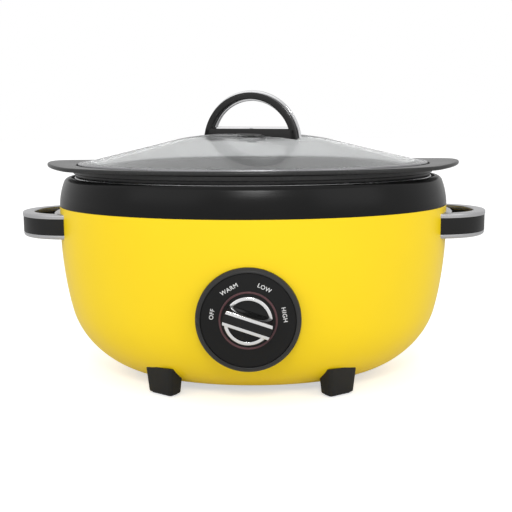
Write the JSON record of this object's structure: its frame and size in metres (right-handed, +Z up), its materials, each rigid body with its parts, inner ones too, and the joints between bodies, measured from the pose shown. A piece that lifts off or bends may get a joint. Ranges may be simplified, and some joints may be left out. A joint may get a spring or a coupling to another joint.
{
  "type": "slow cooker",
  "caption": "Oval electric slow cooker with a yellow steel casing, black collar, lift-out black pot, glass lid with a D-shaped handle, loop side handles and a rotary heat dial.",
  "frame": {"origin": "on the worktop under the foot pads, on the vessel's upright axis", "axes": "+Z up, +X towards the right-hand handle seen from the front, the control dial faces -Y"},
  "size_m": [0.441, 0.2957, 0.2678],
  "materials": {
    "casing_paint": "gloss enamel",
    "collar_black": "satin",
    "well_steel": "bright",
    "heater_mica": "matt",
    "plated_steel": "plated",
    "terminal_brass": "bright",
    "glass_fibre": "matt",
    "handle_black": "satin",
    "handle_silver": "satin chrome",
    "bezel_grey": "satin",
    "dial_black": "printed",
    "ring_red": "satin",
    "switch_moulding": "matt",
    "knob_black": "gloss",
    "knob_chrome": "polished",
    "block_ceramic": "matt",
    "lead_sleeve": "matt",
    "gland_rubber": "matt",
    "pot_coating": "black non-stick coating",
    "lid_glass": "clear tempered",
    "lid_steel": "polished",
    "soft_pad": "matt",
    "foot_black": "satin"
  },
  "bodies": {
    "base": {"base_plate": "plated_steel", "cord_gland": "gland_rubber", "dial_bezel": "bezel_grey", "dial_plate": "dial_black", "foot_front_left": "foot_black", "foot_front_right": "foot_black", "foot_nuts": "plated_steel", "foot_pad_front_left": "soft_pad", "foot_pad_front_right": "soft_pad", "foot_pad_rear_left": "soft_pad", "foot_pad_rear_right": "soft_pad", "foot_rear_left": "foot_black", "foot_rear_right": "foot_black", "foot_screws": "plated_steel", "fuse_clip": "plated_steel", "handle_backing_plates": "plated_steel", "handle_screws": "plated_steel", "heater_band": "heater_mica", "heater_strap": "plated_steel", "heater_terminals": "terminal_brass", "heating_well": "well_steel", "insulation_wrap": "glass_fibre", "knob_ring": "ring_red", "lead_wires": "lead_sleeve", "left_handle_bottom_trim": "handle_silver", "left_handle_grip": "handle_black", "left_handle_top_trim": "handle_silver", "outer_casing": "casing_paint", "panel_housing": "collar_black", "right_handle_bottom_trim": "handle_silver", "right_handle_grip": "handle_black", "right_handle_top_trim": "handle_silver", "switch_cover": "switch_moulding", "switch_housing": "switch_moulding", "switch_nut": "plated_steel", "switch_terminals": "terminal_brass", "terminal_block": "block_ceramic", "thermal_fuse": "plated_steel", "tie_nut": "plated_steel", "tie_stud": "plated_steel", "tie_washer": "plated_steel", "top_collar": "collar_black"},
    "knob": {"switch_shaft": "plated_steel", "contact_rotor": "terminal_brass", "knob_body": "knob_black", "knob_trim": "knob_chrome", "knob_insert": "knob_black"},
    "pot": {"cooking_pot": "pot_coating"},
    "lid": {"lid_glass": "lid_glass", "lid_rim": "lid_steel", "lid_handle_frame": "handle_silver", "lid_handle_front_grip": "handle_black", "lid_handle_rear_grip": "handle_black", "lid_handle_pad": "soft_pad", "lid_under_washer": "lid_steel", "lid_handle_screw": "plated_steel"}
  },
  "joints": [
    {"name": "knob_turn", "type": "hinge", "parent": "base", "child": "knob", "pos_m": [0, -0.14, 0.0786], "axis": [0, 1, 0], "range_deg": [0, 160]},
    {"name": "pot_lift", "type": "slide", "parent": "base", "child": "pot", "axis": [0, 0, 1], "range_m": [0, 0.16]},
    {"name": "lid_lift", "type": "slide", "parent": "pot", "child": "lid", "axis": [0, 0, 1], "range_m": [0, 0.12]}
  ]
}
